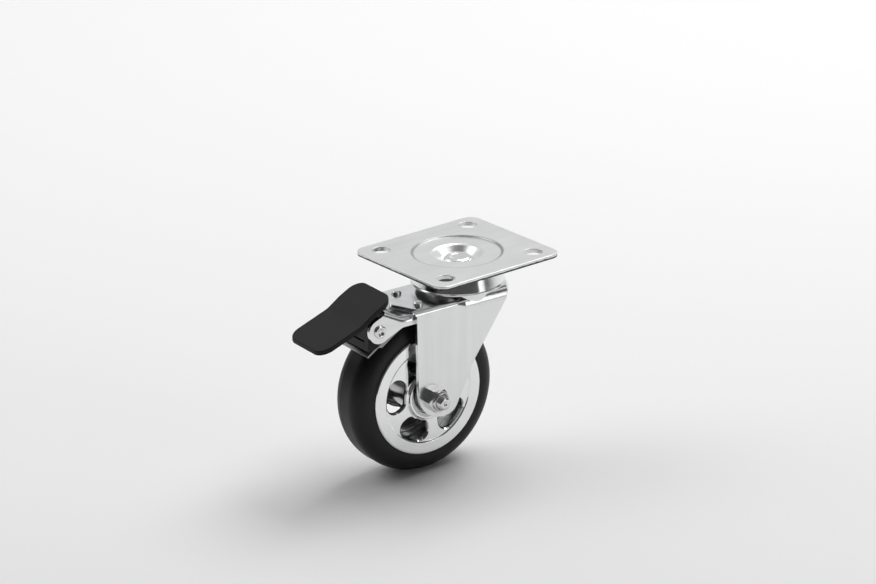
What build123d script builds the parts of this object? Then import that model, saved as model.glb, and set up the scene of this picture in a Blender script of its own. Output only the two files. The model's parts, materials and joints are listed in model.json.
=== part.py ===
from build123d import *
import os
from math import atan2, cos, degrees, hypot, radians, sin, tan

# A swivel castor with a wheel brake.  The frame: the origin is the centre of the
# mounting plate's top face, on the swivel axis.  +Z points up and the plate's edges lie
# along X and Y.  The fork, wheel and brake are drawn with the pedal toward -X, then
# turned about Z by REST_SWIVEL, the direction in which the castor was left standing.
# All lengths are in millimetres and all angles in degrees.

# ---- driving dimensions ----------------------------------------------------------------

# mounting plate
PLATE_LENGTH = 91.0             # along X
PLATE_WIDTH = 85.0              # along Y
PLATE_SHEET = 2.5
PLATE_CORNER = 7.0
PLATE_EDGE = 0.3                # rounding left by the blanking die
HOLE_SPACING_X = 66.0
HOLE_SPACING_Y = 62.0
HOLE_DIAMETER = 10.8
DISH_RADIUS = 27.1              # crease ring round the pressed dish
DISH_STEP = 0.85
BOWL_RADIUS = 15.0              # rim of the bowl in the middle of the dish
BOWL_FLOOR_RADIUS = 10.0
BOWL_DEPTH = 5.5

# swivel head
DRUM_RADIUS = 27.8              # at the lip
DRUM_DRAFT = 3.1                # the drum is this much narrower under the plate
DRUM_WALL = 2.2
DRUM_BOTTOM = -18.2             # height of the drum's open lower lip
DRUM_LIP_FLARE = 0.5
HEAD_BALL_DIAMETER = 5.0
HEAD_BALL_PITCH_RADIUS = 18.5
HEAD_BALL_COUNT = 22
LOWER_BALL_DIAMETER = 4.76
LOWER_BALL_PITCH_RADIUS = 11.5
LOWER_BALL_COUNT = 14
RACE_GROOVE_DEPTH = 0.5         # how deep a ball sits in each race
BALL_PLAY = 0.05                # radial play of a ball in its groove
KINGPIN_RADIUS = 6.0
KINGPIN_SHOULDER_RADIUS = 7.4
KINGPIN_TOP_RADIUS = 7.3
KINGPIN_TOP_HEIGHT = 1.5
LOWER_RACE_RADIUS = 15.0
LOWER_RACE_SHEET = 2.2
KINGPIN_FOOT_RADIUS = 9.0
KINGPIN_FOOT_HEIGHT = 3.0

# fork, folded and drawn from one sheet
FORK_SHEET = 2.4
WHEEL_SIDE_GAP = 2.1            # from the hub's end to the inside of a leg
CROWN_TOP = -18.8
CROWN_BEND = 9.5                # outer radius of the crown's shoulders
CROWN_RADIUS = 27.0             # round back of the crown, seen from above
CROWN_OFFSET = 4.0              # its centre lies behind the swivel axis
CROWN_EDGE = 6.0                # outer radius of the round back's top edge
CROWN_SKIRT = -25.5             # lower edge of the round back
TONGUE_TOP = -22.0
TONGUE_BEND = 2.7
TONGUE_NOSE = -49.0             # apex of the tongue before its nose is rounded
NOTCH_DEPTH = 4.9               # from a leg's face in to the relief notch beside the tongue
STEP_FRONT = -15.0              # the step from tongue to crown runs between these
STEP_BACK = -9.0
DOME_MARGIN = 0.5               # the crown's raised dome is this much narrower than the fork
DOME_ROUND = 2.9
DOME_BORE = 8.6
LEG_FRONT_REACH = 10.95         # the leg's front edge in front of the axle
LEG_TOE_REACH = 13.5            # its rear lower corner, before rounding, behind the axle
LEG_END_DROP = 12.8             # its lower end under the axle
LEG_KNEE_REACH = 28.0           # the bend in its rear edge, behind the axle
LEG_KNEE_RISE = 15.9            # and above it
LEG_CROWN_X = 21.8              # where the rear edge meets the crown's skirt
LEG_FRONT_ROUND = 16.3
LEG_TOE_ROUND = 9.3

# axle and wheel
AXLE_X = -33.0
TREAD_TOP = -28.9               # highest point of the tread, under the fork
AXLE_DIAMETER = 8.0
AXLE_PLAY = 0.05
WHEEL_RADIUS = 50.0
TYRE_WIDTH = 28.2
TYRE_SHOULDER = 9.7
TYRE_DEPTH = 14.8               # from the tread down to the tyre's seat on the rim
RIM_FLANGE = 2.15               # the rim's edge stands out this far over that seat
RIM_WIDTH = 30.4                # over the two flat rings of the rim
RIM_SHEET = 1.2
RIM_RING_WIDTH = 5.0            # the flat ring inside the tyre's seat
WEB_SINK = 0.6                  # the web lies this far below the flat ring
RIM_COLLAR_HEIGHT = 2.4         # collar that grips the hub tube
WINDOW_COUNT = 5
WINDOW_MARGIN = 0.6             # from a window to the flat ring
WINDOW_INNER_ROUND = 5.4
WINDOW_OUTER_ROUND = 6.5
WINDOW_ROUND_SHARE = 0.46        # no corner takes more of the window's depth than this
WINDOW_FIRST_ANGLE = 27.0
WINDOW_BEAD_DEPTH = 2.6         # how far the rolled edge turns inward
SPOKE_WIDTH = 6.4
BEARING_OUTER_DIAMETER = 22.0
BEARING_BORE = 8.0
BEARING_WIDTH = 7.0
BEARING_PITCH_RADIUS = 7.5
BEARING_BALL_DIAMETER = 3.97
BEARING_BALL_COUNT = 7
BEARING_RING_WALL = 1.9
BEARING_SINK = 0.8              # the bearings sit this far inside the hub tube's ends
HUB_WALL = 2.0
SHIELD_SHEET = 0.5
COLLAR_RADIUS = 8.6
BOLT_HEX = 13.0                 # across flats
BOLT_HEAD_HEIGHT = 5.3
BOLT_STAND_OUT = 11.5           # the bolt's threaded end outside the leg
NUT_HEX_HEIGHT = 6.2
NUT_COLLAR_HEIGHT = 2.0
NUT_COLLAR_RADIUS = 5.6

# brake
BRACKET_SHEET = 2.0
BRACKET_BEND = 3.6
BRACKET_BACK = -31.5
BRACKET_RISE_X = -51.5          # in front of this the bracket climbs
BRACKET_RISE_ANGLE = 28.0
BRACKET_FRONT = -63.5
BRACKET_SIDE_BOTTOM = -30.0
BRACKET_GAP = 0.15              # between its sides and the fork's legs
PIN_X = -68.35
PIN_Z = -28.9
PIN_DIAMETER = 5.0
PIN_PLAY = 0.05
PIN_HEAD_RADIUS = 4.0
PIN_HEAD_HEIGHT = 1.5
EAR_RADIUS = 7.5
RIVET_X = -36.4
RIVET_SPACING = 23.0
RIVET_DIAMETER = 4.0
RIVET_PLAY = 0.05
RIVET_HEAD_RADIUS = 3.0
RIVET_HEAD_HEIGHT = 2.2
SHOE_SHEET = 1.2
SHOE_SIDE_GAP = 1.35            # between the shoe and the bracket's sides
SHOE_FLANGE = 1.8
SHOE_BACK = -33.5
SHOE_BEND_X = -46.0
SHOE_FACE_X = -55.5             # start of the flat face over the tread
SHOE_SLOPE = 33.5               # fall of the flat face toward its free end
SHOE_FACE_LENGTH = 23.4
SHOE_TREAD_GAP = 1.3            # between the flat face and the tread, with the brake free
SHOE_PLAY = 0.25                # lets the shoe rock where it is held
PEDAL_WIDTH = 37.0
PEDAL_SHEET = 2.8
PEDAL_CORNER = 8.0
PEDAL_EDGE = 0.7                # softened edges of the moulding
PEDAL_TOP_X = -57.8
PEDAL_TOP_Z = -9.6
PEDAL_BELLY_X = -72.0
PEDAL_BELLY_Z = -16.9
PEDAL_FOLD_X = -80.5
PEDAL_FOLD_Z = -22.7
PEDAL_TIP_X = -108.8
PEDAL_TIP_Z = -33.0
CAM_FRONT = -75.2
CAM_BACK_REACH = 7.6
CAM_REST_GAP = 0.23
CAM_LOCKED_GAP = 0.1
PEDAL_TRAVEL = 15.0             # pedal turn from free to locked
SHOE_TRAVEL = 2.1               # shoe turn over the same stroke

REST_SWIVEL = -3.68             # how far the fork stands turned from the plate's X

# ---- sizes that follow -----------------------------------------------------------------

DISH_TOP = -DISH_STEP
DISH_UNDER = DISH_TOP - PLATE_SHEET
BOWL_TOP = -BOWL_DEPTH
BOWL_UNDER = BOWL_TOP - PLATE_SHEET
UPPER_RACE = DISH_UNDER - DRUM_WALL
HEAD_BALL_RADIUS = HEAD_BALL_DIAMETER / 2
LOWER_BALL_RADIUS = LOWER_BALL_DIAMETER / 2
HEAD_BALL_Z = UPPER_RACE - HEAD_BALL_RADIUS + RACE_GROOVE_DEPTH
DOME_TOP = HEAD_BALL_Z - HEAD_BALL_RADIUS + RACE_GROOVE_DEPTH
DOME_UNDER = DOME_TOP - FORK_SHEET
LOWER_BALL_Z = DOME_UNDER - LOWER_BALL_RADIUS + RACE_GROOVE_DEPTH
LOWER_RACE_TOP = LOWER_BALL_Z - LOWER_BALL_RADIUS + RACE_GROOVE_DEPTH
LOWER_RACE_UNDER = LOWER_RACE_TOP - LOWER_RACE_SHEET
KINGPIN_BOTTOM = LOWER_RACE_UNDER - KINGPIN_FOOT_HEIGHT
AXLE_RADIUS = AXLE_DIAMETER / 2
AXLE_Z = TREAD_TOP - WHEEL_RADIUS
LEG_FRONT = AXLE_X - LEG_FRONT_REACH
LEG_TOE = AXLE_X + LEG_TOE_REACH
LEG_BOTTOM = AXLE_Z - LEG_END_DROP
LEG_KNEE_X = AXLE_X + LEG_KNEE_REACH
LEG_KNEE_Z = AXLE_Z + LEG_KNEE_RISE
BARREL_RADIUS = WHEEL_RADIUS - TYRE_DEPTH
RIM_RADIUS = BARREL_RADIUS + RIM_FLANGE
RING_INNER_RADIUS = BARREL_RADIUS - RIM_RING_WIDTH
RIM_FACE = RIM_WIDTH / 2
WEB_FACE = RIM_FACE - WEB_SINK
HUB_HALF = WEB_FACE + RIM_COLLAR_HEIGHT
FORK_INNER_HALF = HUB_HALF + WHEEL_SIDE_GAP
FORK_HALF = FORK_INNER_HALF + FORK_SHEET
FORK_WIDTH = 2 * FORK_HALF
DOME_RADIUS = FORK_HALF - DOME_MARGIN
TONGUE_HALF_WIDTH = FORK_HALF - NOTCH_DEPTH
BOLT_END = -FORK_HALF - BOLT_STAND_OUT
HUB_INNER_RADIUS = BEARING_OUTER_DIAMETER / 2
HUB_OUTER_RADIUS = HUB_INNER_RADIUS + HUB_WALL
WINDOW_INNER_RADIUS = HUB_OUTER_RADIUS + RIM_COLLAR_HEIGHT
WINDOW_OUTER_RADIUS = RING_INNER_RADIUS - WINDOW_MARGIN
BEARING_FACE = HUB_HALF - BEARING_SINK
BEARING_BACK = BEARING_FACE - BEARING_WIDTH
BEARING_BORE_RADIUS = BEARING_BORE / 2
BRACKET_HALF = FORK_INNER_HALF - BRACKET_GAP
BRACKET_TOP = TONGUE_TOP - FORK_SHEET
BRACKET_UNDER = BRACKET_TOP - BRACKET_SHEET
SHOE_TOP = BRACKET_UNDER - SHOE_PLAY
SHOE_UNDER = SHOE_TOP - SHOE_SHEET
SHOE_HALF = BRACKET_HALF - BRACKET_SHEET - SHOE_SIDE_GAP
SHOE_ALONG_X = -cos(radians(SHOE_SLOPE))
SHOE_ALONG_Z = -sin(radians(SHOE_SLOPE))
SHOE_FACE_DROP = WHEEL_RADIUS + SHOE_TREAD_GAP + (AXLE_X - SHOE_FACE_X) * SHOE_ALONG_Z
SHOE_FACE_Z = AXLE_Z - SHOE_FACE_DROP / SHOE_ALONG_X
SHOE_END_X = SHOE_FACE_X + SHOE_FACE_LENGTH * SHOE_ALONG_X
SHOE_END_Z = SHOE_FACE_Z + SHOE_FACE_LENGTH * SHOE_ALONG_Z
CAM_HALF = BRACKET_HALF - BRACKET_SHEET - 0.35
DEEP = 120.0                    # longer than the castor, for cutting tools
OVERRUN = 20.0                  # a form is drawn this far past the edge that trims it


# ---- drawing helpers -------------------------------------------------------------------

def outline(*corners):
    """A closed face in the local XY plane through corners (x, y, corner radius)."""
    points = [(x, y) for x, y, _ in corners]
    rounds = [radius for _, _, radius in corners]
    return make_face(FilletPolyline(*points, radius=rounds, close=True))


def turned(*corners):
    """A solid turned about Z from corners (radius, height, corner radius)."""
    return revolve(Plane.XZ * outline(*corners), Axis.Z)


def turned_on_axle(*corners):
    """A solid turned about Y from corners (radius, distance along the axle, corner radius)."""
    return revolve(outline(*corners), Axis.Y)


def side_cut(half_width, *corners):
    """A prism across Y whose side view has corners (x, z, corner radius)."""
    return extrude(Plane.XZ * outline(*corners), half_width, both=True)


def ring_of_balls(radius, pitch_radius, count):
    """Balls evenly spaced round Z at height zero."""
    spots = PolarLocations(pitch_radius, count)
    return [spot * Sphere(radius) for spot in spots]


def group(solids):
    """Separate solids kept together in one node."""
    return Compound([solid.solid() for solid in solids])


def mirrored(solid):
    """The same solid on the other side of the castor's middle plane."""
    return mirror(solid, Plane.XZ)


# ---- mounting plate and swivel head ----------------------------------------------------

def top_plate():
    blank = extrude(RectangleRounded(PLATE_LENGTH, PLATE_WIDTH, PLATE_CORNER), -PLATE_SHEET)
    levels = blank.edges().group_by(Axis.Z)
    blank = fillet(levels[0] + levels[-1], PLATE_EDGE)
    dish_edge = DISH_RADIUS + PLATE_SHEET
    blank -= Cylinder(dish_edge, DEEP)
    for spot in GridLocations(HOLE_SPACING_X, HOLE_SPACING_Y, 2, 2):
        blank -= spot * Cylinder(HOLE_DIAMETER / 2, DEEP)
    slope = PLATE_SHEET * (BOWL_RADIUS - BOWL_FLOOR_RADIUS) / (BOWL_DEPTH - DISH_STEP) / 2
    dish = turned(
        (KINGPIN_RADIUS, BOWL_TOP, 0),
        (BOWL_FLOOR_RADIUS, BOWL_TOP, 1.5),
        (BOWL_RADIUS, DISH_TOP, 3.0),
        (DISH_RADIUS - 0.6, DISH_TOP, 0.5),
        (DISH_RADIUS, 0, 0.5),
        (dish_edge, 0, 0),
        (dish_edge, -PLATE_SHEET, 0),
        (DISH_RADIUS + 0.8, -PLATE_SHEET, 0.5),
        (DISH_RADIUS, DISH_UNDER, 0.5),
        (BOWL_RADIUS + slope, DISH_UNDER, 1.0),
        (BOWL_FLOOR_RADIUS + slope, BOWL_UNDER, 3.0),
        (KINGPIN_RADIUS, BOWL_UNDER, 0),
    )
    return blank + dish


def race_housing():
    """The drum under the plate: a drawn cup with the upper ball groove in its floor."""
    inner_edge = BOWL_RADIUS + 2.0
    top_radius = DRUM_RADIUS - DRUM_DRAFT
    cup = turned(
        (inner_edge, DISH_UNDER, 0),
        (top_radius, DISH_UNDER, 2.6),
        (DRUM_RADIUS, DRUM_BOTTOM + 1.3, 0.5),
        (DRUM_RADIUS + DRUM_LIP_FLARE, DRUM_BOTTOM + 0.6, 0.2),
        (DRUM_RADIUS + DRUM_LIP_FLARE, DRUM_BOTTOM, 0.2),
        (DRUM_RADIUS - DRUM_WALL, DRUM_BOTTOM, 0),
        (top_radius - DRUM_WALL, UPPER_RACE, 0.8),
        (inner_edge, UPPER_RACE, 0),
    )
    groove = Torus(HEAD_BALL_PITCH_RADIUS, HEAD_BALL_RADIUS + BALL_PLAY)
    return cup - Pos(0, 0, HEAD_BALL_Z) * groove


def kingpin():
    """A shouldered stud, peened over above the plate and below the lower race."""
    return turned(
        (0, BOWL_TOP + KINGPIN_TOP_HEIGHT - 0.5, 0),
        (3.4, BOWL_TOP + KINGPIN_TOP_HEIGHT - 0.5, 0.4),
        (4.2, BOWL_TOP + KINGPIN_TOP_HEIGHT, 0.5),
        (KINGPIN_TOP_RADIUS - 1.5, BOWL_TOP + KINGPIN_TOP_HEIGHT, 0.6),
        (KINGPIN_TOP_RADIUS, BOWL_TOP + KINGPIN_TOP_HEIGHT * 0.45, 0.5),
        (KINGPIN_TOP_RADIUS, BOWL_TOP, 0),
        (KINGPIN_RADIUS, BOWL_TOP, 0),
        (KINGPIN_RADIUS, BOWL_UNDER, 0),
        (KINGPIN_SHOULDER_RADIUS, BOWL_UNDER, 0),
        (KINGPIN_SHOULDER_RADIUS, LOWER_RACE_TOP, 0),
        (KINGPIN_RADIUS, LOWER_RACE_TOP, 0),
        (KINGPIN_RADIUS, LOWER_RACE_UNDER, 0),
        (KINGPIN_FOOT_RADIUS, LOWER_RACE_UNDER, 0),
        (KINGPIN_FOOT_RADIUS - 0.6, KINGPIN_BOTTOM, 1.2),
        (0, KINGPIN_BOTTOM, 0),
    )


def lower_race():
    washer = turned(
        (KINGPIN_RADIUS, LOWER_RACE_TOP, 0),
        (LOWER_RACE_RADIUS, LOWER_RACE_TOP, 0.8),
        (LOWER_RACE_RADIUS, LOWER_RACE_UNDER, 0.4),
        (KINGPIN_RADIUS, LOWER_RACE_UNDER, 0),
    )
    groove = Torus(LOWER_BALL_PITCH_RADIUS, LOWER_BALL_RADIUS + BALL_PLAY)
    return washer - Pos(0, 0, LOWER_BALL_Z) * groove


def upper_balls():
    balls = ring_of_balls(HEAD_BALL_RADIUS, HEAD_BALL_PITCH_RADIUS, HEAD_BALL_COUNT)
    return group(Pos(0, 0, HEAD_BALL_Z) * ball for ball in balls)


def lower_balls():
    balls = ring_of_balls(LOWER_BALL_RADIUS, LOWER_BALL_PITCH_RADIUS, LOWER_BALL_COUNT)
    return group(Pos(0, 0, LOWER_BALL_Z) * ball for ball in balls)


# ---- fork ------------------------------------------------------------------------------

def fork_section(x, top, bend, inset):
    """The fork's cross-section at x: a block with two rounded shoulders."""
    half = FORK_HALF - inset
    foot = -DEEP - inset
    shoulder = bend - inset
    face = outline(
        (-half, foot, 0),
        (half, foot, 0),
        (half, top - inset, shoulder),
        (-half, top - inset, shoulder),
    )
    return Plane((x, 0, 0), x_dir=(0, 1, 0), z_dir=(1, 0, 0)) * face


def fork_form(inset):
    """The solid form of the fork's outer skin, or of its inner skin one sheet inside."""
    front = LEG_FRONT - OVERRUN - inset
    back = CROWN_OFFSET + CROWN_RADIUS + OVERRUN + inset
    tongue_start = fork_section(front, TONGUE_TOP, TONGUE_BEND, inset)
    tongue_end = fork_section(STEP_FRONT, TONGUE_TOP, TONGUE_BEND, inset)
    crown_start = fork_section(STEP_BACK, CROWN_TOP, CROWN_BEND, inset)
    form = extrude(tongue_start, STEP_FRONT - front, dir=(1, 0, 0))
    form += loft([tongue_end, crown_start], ruled=True)
    crown = extrude(crown_start, back - STEP_BACK, dir=(1, 0, 0))
    boss = Pos(CROWN_OFFSET, 0, CROWN_TOP - inset) * Cylinder(
        CROWN_RADIUS - inset, DEEP, align=(Align.CENTER, Align.CENTER, Align.MAX)
    )
    boss = fillet(boss.edges().group_by(Axis.Z)[-1], CROWN_EDGE - inset)
    shoulder_end = CROWN_TOP - CROWN_BEND
    legs = Pos(STEP_BACK, 0, shoulder_end) * Box(
        back - STEP_BACK,
        2 * (FORK_HALF - inset),
        DEEP,
        align=(Align.MIN, Align.CENTER, Align.MAX),
    )
    form += (crown & boss) + legs
    dome = turned(
        (0, DOME_TOP - inset, 0),
        (DOME_RADIUS - inset, DOME_TOP - inset, DOME_ROUND - inset),
        (DOME_RADIUS - inset, shoulder_end - inset, 0),
        (0, shoulder_end - inset, 0),
    )
    return form + dome


def fork_side_view():
    """What the side view keeps: the tongue, the crown and the tapering legs."""
    under_tongue = TONGUE_TOP - FORK_SHEET - 0.1
    return side_cut(
        FORK_WIDTH,
        (LEG_FRONT - OVERRUN, 0, 0),
        (LEG_FRONT - OVERRUN, under_tongue, 0),
        (LEG_FRONT, under_tongue, 0),
        (LEG_FRONT, LEG_BOTTOM, LEG_FRONT_ROUND),
        (LEG_TOE, LEG_BOTTOM, LEG_TOE_ROUND),
        (LEG_KNEE_X, LEG_KNEE_Z, 40.0),
        (LEG_CROWN_X, CROWN_SKIRT, 1.5),
        (CROWN_OFFSET + CROWN_RADIUS + OVERRUN, CROWN_SKIRT, 0),
        (CROWN_OFFSET + CROWN_RADIUS + OVERRUN, 0, 0),
    )


def fork_plan_view():
    """What the plan view keeps: the tongue's pointed nose and the relief notches."""
    notch_x = LEG_FRONT + 2.8
    right = [
        (notch_x - 0.5, TONGUE_HALF_WIDTH, 1.0),
        (notch_x + 0.4, TONGUE_HALF_WIDTH + 1.6, 0.7),
        (LEG_FRONT - 1.0, TONGUE_HALF_WIDTH + 1.9, 0),
        (LEG_FRONT - 1.0, FORK_WIDTH, 0),
        (DEEP, FORK_WIDTH, 0),
    ]
    left = [(x, -y, radius) for x, y, radius in reversed(right)]
    return extrude(outline((TONGUE_NOSE, 0, 8.0), *right, *left), -DEEP)


def fork():
    sheet = fork_form(0.0) - fork_form(FORK_SHEET)
    sheet &= fork_side_view()
    sheet &= fork_plan_view()
    sheet -= Cylinder(DOME_BORE, DEEP)
    upper = Torus(HEAD_BALL_PITCH_RADIUS, HEAD_BALL_RADIUS + BALL_PLAY)
    lower = Torus(LOWER_BALL_PITCH_RADIUS, LOWER_BALL_RADIUS + BALL_PLAY)
    sheet -= Pos(0, 0, HEAD_BALL_Z) * upper
    sheet -= Pos(0, 0, LOWER_BALL_Z) * lower
    axle_hole = Cylinder(AXLE_RADIUS + AXLE_PLAY, DEEP, rotation=(90, 0, 0))
    sheet -= Pos(AXLE_X, 0, AXLE_Z) * axle_hole
    return sheet - rivet_holes(RIVET_DIAMETER / 2 + RIVET_PLAY)


def rivet_holes(radius):
    holes = [Pos(RIVET_X, y, 0) * Cylinder(radius, DEEP)
             for y in (-RIVET_SPACING / 2, RIVET_SPACING / 2)]
    return holes[0] + holes[1]


# ---- wheel, drawn about the origin with its axle along Y -------------------------------

def tyre():
    side = TYRE_WIDTH / 2
    bead = RIM_FACE - 2.0
    return turned_on_axle(
        (BARREL_RADIUS, -bead, 0),
        (RIM_RADIUS + 0.2, -bead, 0),
        (RIM_RADIUS + 1.0, -side, 0.4),
        (WHEEL_RADIUS, -side, TYRE_SHOULDER),
        (WHEEL_RADIUS, side, TYRE_SHOULDER),
        (RIM_RADIUS + 1.0, side, 0.4),
        (RIM_RADIUS + 0.2, bead, 0),
        (BARREL_RADIUS, bead, 0),
    )


def window_outline(inset):
    """One kidney window between two parallel-sided spokes, in the wheel's side view."""
    outer = WINDOW_OUTER_RADIUS - inset
    inner = WINDOW_INNER_RADIUS + inset
    pitch = 360 / WINDOW_COUNT
    ring = Circle(outer) - Circle(inner)
    half_spoke = SPOKE_WIDTH / 2 + inset
    reach = 2 * WHEEL_RADIUS
    side = Rot(0, 0, pitch / 2) * Pos(0, -half_spoke) * Rectangle(
        reach, reach, align=(Align.CENTER, Align.MIN)
    )
    other = mirror(side, Plane.XZ)
    back = Rectangle(reach, 2 * reach, align=(Align.MAX, Align.CENTER))
    window = ring - side - other - back
    depth = WINDOW_OUTER_RADIUS - WINDOW_INNER_RADIUS
    widest = WINDOW_ROUND_SHARE * depth
    inner_corners = window.vertices().sort_by_distance((0, 0, 0))[:2]
    window = fillet(inner_corners, min(WINDOW_INNER_ROUND, widest) - inset)
    outer_corners = window.vertices().sort_by_distance((0, 0, 0))[-2:]
    return fillet(outer_corners, min(WINDOW_OUTER_ROUND, widest) - inset)


def at_windows(solid):
    """Copies of a solid drawn in plan (its middle on +X) at each window of the rim."""
    pitch = 360 / WINDOW_COUNT
    turns = [WINDOW_FIRST_ANGLE + pitch * i for i in range(WINDOW_COUNT)]
    return [Rot(90, 0, 0) * (Rot(0, 0, turn) * solid) for turn in turns]


def rim_disc():
    """One pressed half of the rim, on the nut's side (-Y)."""
    bead = RIM_FACE - 2.0
    inner_web = WEB_FACE - RIM_SHEET
    disc = turned_on_axle(
        (HUB_OUTER_RADIUS, -HUB_HALF, 0),
        (HUB_OUTER_RADIUS + RIM_SHEET, -HUB_HALF, 0.4),
        (HUB_OUTER_RADIUS + RIM_SHEET, -WEB_FACE, RIM_COLLAR_HEIGHT - 0.6),
        (RING_INNER_RADIUS - 0.7, -WEB_FACE, 0.4),
        (RING_INNER_RADIUS, -RIM_FACE, 0.4),
        (RIM_RADIUS, -RIM_FACE, 1.0),
        (RIM_RADIUS, -bead, 0.8),
        (BARREL_RADIUS, -bead, 0),
        (BARREL_RADIUS, 0, 0),
        (BARREL_RADIUS - RIM_SHEET, 0, 0),
        (BARREL_RADIUS - RIM_SHEET, -RIM_FACE + RIM_SHEET, 0.6),
        (RING_INNER_RADIUS + 0.6, -RIM_FACE + RIM_SHEET, 0.4),
        (RING_INNER_RADIUS - 0.1, -inner_web, 0.4),
        (HUB_OUTER_RADIUS, -inner_web, 0),
    )
    roll = extrude(window_outline(0), WINDOW_BEAD_DEPTH)
    roll = Pos(0, 0, WEB_FACE - WINDOW_BEAD_DEPTH) * roll
    hole = Pos(0, 0, WEB_FACE - 2 * WINDOW_BEAD_DEPTH) * extrude(
        window_outline(RIM_SHEET * 0.75), 3 * WINDOW_BEAD_DEPTH
    )
    mouth = Pos(0, 0, WEB_FACE) * extrude(window_outline(0.05), -1.1, taper=38)
    for ring in at_windows(roll):
        disc += ring
    for cut in at_windows(hole + mouth):
        disc -= cut
    return disc


def hub_tube():
    tube = Cylinder(HUB_OUTER_RADIUS, 2 * HUB_HALF) - Cylinder(HUB_INNER_RADIUS, DEEP)
    stop = Cylinder(HUB_INNER_RADIUS, 2 * BEARING_BACK) - Cylinder(HUB_INNER_RADIUS - 1.5, DEEP)
    return Rot(90, 0, 0) * (tube + stop)


def bearing_groove():
    middle = -(BEARING_FACE + BEARING_BACK) / 2
    groove = Torus(BEARING_PITCH_RADIUS, BEARING_BALL_DIAMETER / 2 + BALL_PLAY)
    return Pos(0, middle, 0) * (Rot(90, 0, 0) * groove)


def bearing_outer_ring():
    ring = turned_on_axle(
        (HUB_INNER_RADIUS - BEARING_RING_WALL, -BEARING_FACE, 0),
        (HUB_INNER_RADIUS, -BEARING_FACE, 0.4),
        (HUB_INNER_RADIUS, -BEARING_BACK, 0),
        (HUB_INNER_RADIUS - BEARING_RING_WALL, -BEARING_BACK, 0),
    )
    return ring - bearing_groove()


def bearing_inner_ring():
    ring = turned_on_axle(
        (BEARING_BORE_RADIUS, -BEARING_FACE, 0),
        (BEARING_BORE_RADIUS + BEARING_RING_WALL, -BEARING_FACE, 0.3),
        (BEARING_BORE_RADIUS + BEARING_RING_WALL, -BEARING_BACK, 0),
        (BEARING_BORE_RADIUS, -BEARING_BACK, 0),
    )
    return ring - bearing_groove()


def bearing_balls():
    """The balls of both bearings."""
    middle = (BEARING_FACE + BEARING_BACK) / 2
    balls = ring_of_balls(BEARING_BALL_DIAMETER / 2, BEARING_PITCH_RADIUS, BEARING_BALL_COUNT)
    near = [Pos(0, -middle, 0) * (Rot(90, 0, 0) * ball) for ball in balls]
    return group(near + [mirrored(ball) for ball in near])


def bearing_shields():
    """A thin ring in the outer mouth of each bearing's outer ring."""
    inner = BEARING_BORE_RADIUS + BEARING_RING_WALL + 0.25
    outer = HUB_INNER_RADIUS - BEARING_RING_WALL
    face = -BEARING_FACE + 0.2
    shield = turned_on_axle(
        (inner, face, 0),
        (outer, face, 0),
        (outer, face + SHIELD_SHEET, 0),
        (inner, face + SHIELD_SHEET, 0),
    )
    return group([shield, mirrored(shield)])


def spacer_sleeve():
    outer = BEARING_BORE_RADIUS + BEARING_RING_WALL
    tube = Cylinder(outer, 2 * BEARING_BACK) - Cylinder(BEARING_BORE_RADIUS, DEEP)
    return Rot(90, 0, 0) * tube


def axle_collars():
    """Stepped washers between the bearings' inner rings and the fork's legs."""
    neck = BEARING_BORE_RADIUS + BEARING_RING_WALL - 0.3
    step = HUB_HALF + 0.4
    collar = turned_on_axle(
        (BEARING_BORE_RADIUS, -BEARING_FACE, 0),
        (neck, -BEARING_FACE, 0),
        (neck, -step, 0.3),
        (COLLAR_RADIUS, -step, 0.3),
        (COLLAR_RADIUS, -FORK_INNER_HALF, 0.3),
        (BEARING_BORE_RADIUS, -FORK_INNER_HALF, 0),
    )
    return group([collar, mirrored(collar)])


def axle_bolt():
    """A hexagon bolt from +Y, with a chamfered end that carries a centre dimple."""
    shank = turned_on_axle(
        (0, FORK_HALF, 0),
        (AXLE_RADIUS, FORK_HALF, 0),
        (AXLE_RADIUS, BOLT_END + 0.9, 0),
        (AXLE_RADIUS - 0.9, BOLT_END, 0),
        (1.3, BOLT_END, 0),
        (0.7, BOLT_END + 0.8, 0),
        (0, BOLT_END + 0.8, 0),
    )
    return shank + Pos(0, FORK_HALF, 0) * hexagon(BOLT_HEAD_HEIGHT)


def hexagon(height):
    """A hexagonal prism from y = 0 to y = height, with its outer corners turned off."""
    point_radius = BOLT_HEX / 2 / cos(radians(30))
    prism = extrude(RegularPolygon(point_radius, 6), height)
    crown = turned(
        (0, 0, 0),
        (point_radius + 1, 0, 0),
        (point_radius + 1, height - 1.7, 0),
        (BOLT_HEX / 2 - 0.2, height, 0),
        (0, height, 0),
    )
    return Rot(-90, 0, 0) * (prism & crown)


def axle_nut():
    """A lock nut: a hexagon with a round collar that holds its insert."""
    collar = turned_on_axle(
        (0, -FORK_HALF - NUT_HEX_HEIGHT, 0),
        (NUT_COLLAR_RADIUS + 0.3, -FORK_HALF - NUT_HEX_HEIGHT, 0),
        (NUT_COLLAR_RADIUS, -FORK_HALF - NUT_HEX_HEIGHT - NUT_COLLAR_HEIGHT, 1.0),
        (0, -FORK_HALF - NUT_HEX_HEIGHT - NUT_COLLAR_HEIGHT, 0),
    )
    body = Pos(0, -FORK_HALF, 0) * mirror(hexagon(NUT_HEX_HEIGHT), Plane.XZ)
    return body + collar - Cylinder(AXLE_RADIUS, DEEP, rotation=(90, 0, 0))


# ---- brake -----------------------------------------------------------------------------

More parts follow.
